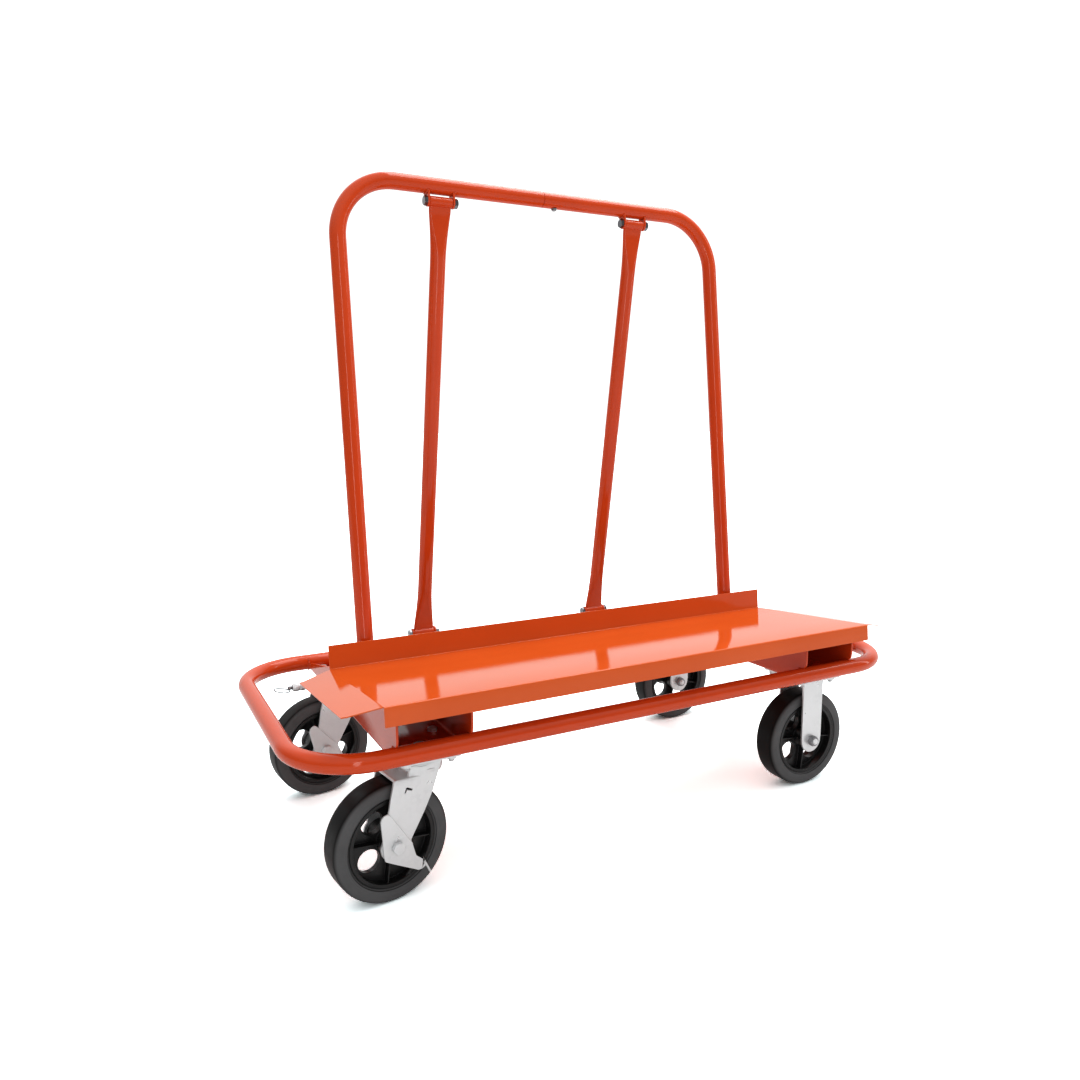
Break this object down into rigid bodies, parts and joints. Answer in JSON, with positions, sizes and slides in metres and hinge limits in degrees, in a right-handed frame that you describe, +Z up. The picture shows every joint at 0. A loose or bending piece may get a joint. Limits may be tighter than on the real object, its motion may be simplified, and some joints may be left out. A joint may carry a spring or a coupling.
{
  "type": "drywall cart",
  "caption": "Wheeled cart that carries wallboard on edge: sloped steel deck, round-tube bumper, leaning braced frame, rigid and swivel casters with foot brakes.",
  "frame": {"origin": "floor point under the middle of the bumper loop", "axes": "+X along the cart towards the rigid casters, -Y the loading side, +Z up"},
  "size_m": [1.3088, 0.6331, 1.25],
  "materials": {
    "deck_coat": "gloss powder coat",
    "frame_coat": "gloss powder coat",
    "zinc_plate": "pale zinc plate",
    "dark_steel": "dull plated steel",
    "bright_steel": "bright plated steel",
    "tyre_rubber": "moulded rubber",
    "wheel_core": "moulded plastic",
    "bearing_steel": "ground steel"
  },
  "bodies": {
    "cart_frame": {"deck": "deck_coat", "channel_left": "frame_coat", "channel_right": "frame_coat", "bumper_tube": "frame_coat", "upright_left": "frame_coat", "upright_right": "frame_coat", "splice_sleeve": "frame_coat", "splice_screw": "dark_steel", "post_socket_left": "frame_coat", "post_socket_right": "frame_coat", "post_bolts": "zinc_plate", "post_nuts": "zinc_plate", "brace_left": "frame_coat", "brace_right": "frame_coat", "brace_ears_top": "frame_coat", "brace_ears_bottom": "frame_coat", "brace_bolts": "zinc_plate", "brace_nuts": "zinc_plate", "plate_front_left": "zinc_plate", "plate_rear_left": "zinc_plate", "plate_front_right": "zinc_plate", "plate_rear_right": "zinc_plate", "plate_bolts": "zinc_plate", "plate_nuts": "zinc_plate", "rigid_fork_front": "zinc_plate", "rigid_fork_rear": "zinc_plate", "rigid_axles": "zinc_plate", "rigid_axle_nuts": "dark_steel", "race_front": "zinc_plate", "race_rear": "zinc_plate", "kingpins": "dark_steel", "kingpin_nuts": "dark_steel", "lock_sleeve": "zinc_plate"},
    "fork_front": {"swivel_fork_front": "zinc_plate", "swivel_axle_front": "zinc_plate", "swivel_nut_front": "zinc_plate"},
    "fork_rear": {"swivel_fork_rear": "zinc_plate", "swivel_axle_rear": "zinc_plate", "swivel_nut_rear": "zinc_plate"},
    "brake_lever_front": {"brake_front": "zinc_plate"},
    "brake_lever_rear": {"brake_rear": "zinc_plate"},
    "lock_plunger": {"lock_pin": "bright_steel", "lock_ring": "bright_steel"},
    "wheel_front_left": {"tyre_front_left": "tyre_rubber", "core_front_left": "wheel_core", "bearing_front_left": "bearing_steel"},
    "wheel_rear_left": {"tyre_rear_left": "tyre_rubber", "core_rear_left": "wheel_core", "bearing_rear_left": "bearing_steel"},
    "wheel_front_right": {"tyre_front_right": "tyre_rubber", "core_front_right": "wheel_core", "bearing_front_right": "bearing_steel"},
    "wheel_rear_right": {"tyre_rear_right": "tyre_rubber", "core_rear_right": "wheel_core", "bearing_rear_right": "bearing_steel"}
  },
  "joints": [
    {"name": "swivel_front", "type": "hinge", "parent": "cart_frame", "child": "fork_front", "pos_m": [-0.4294, -0.228, 0.2], "axis": [0, 0, 1], "continuous": true},
    {"name": "spin_front_left", "type": "hinge", "parent": "fork_front", "child": "wheel_front_left", "pos_m": [-0.49377, -0.23705, 0.1016], "axis": [-0.1392, 0.9903, 0], "continuous": true},
    {"name": "brake_pedal_front", "type": "hinge", "parent": "fork_front", "child": "brake_lever_front", "pos_m": [-0.49377, -0.23705, 0.1016], "axis": [-0.1392, 0.9903, 0], "range_deg": [-8, 14]},
    {"name": "spin_front_right", "type": "hinge", "parent": "cart_frame", "child": "wheel_front_right", "pos_m": [0.4294, -0.228, 0.1016], "axis": [0, 1, 0], "continuous": true},
    {"name": "swivel_rear", "type": "hinge", "parent": "cart_frame", "child": "fork_rear", "pos_m": [-0.4294, 0.228, 0.2], "axis": [0, 0, 1], "continuous": true},
    {"name": "spin_rear_left", "type": "hinge", "parent": "fork_rear", "child": "wheel_rear_left", "pos_m": [-0.49377, 0.21895, 0.1016], "axis": [-0.1392, 0.9903, 0], "continuous": true},
    {"name": "brake_pedal_rear", "type": "hinge", "parent": "fork_rear", "child": "brake_lever_rear", "pos_m": [-0.49377, 0.21895, 0.1016], "axis": [-0.1392, 0.9903, 0], "range_deg": [0, 22]},
    {"name": "spin_rear_right", "type": "hinge", "parent": "cart_frame", "child": "wheel_rear_right", "pos_m": [0.4294, 0.228, 0.1016], "axis": [0, 1, 0], "continuous": true},
    {"name": "swivel_lock_pull", "type": "slide", "parent": "cart_frame", "child": "lock_plunger", "axis": [-1, 0, 0], "range_m": [0, 0.008], "stiffness_N_per_m": 500, "springref_m": -0.01}
  ]
}
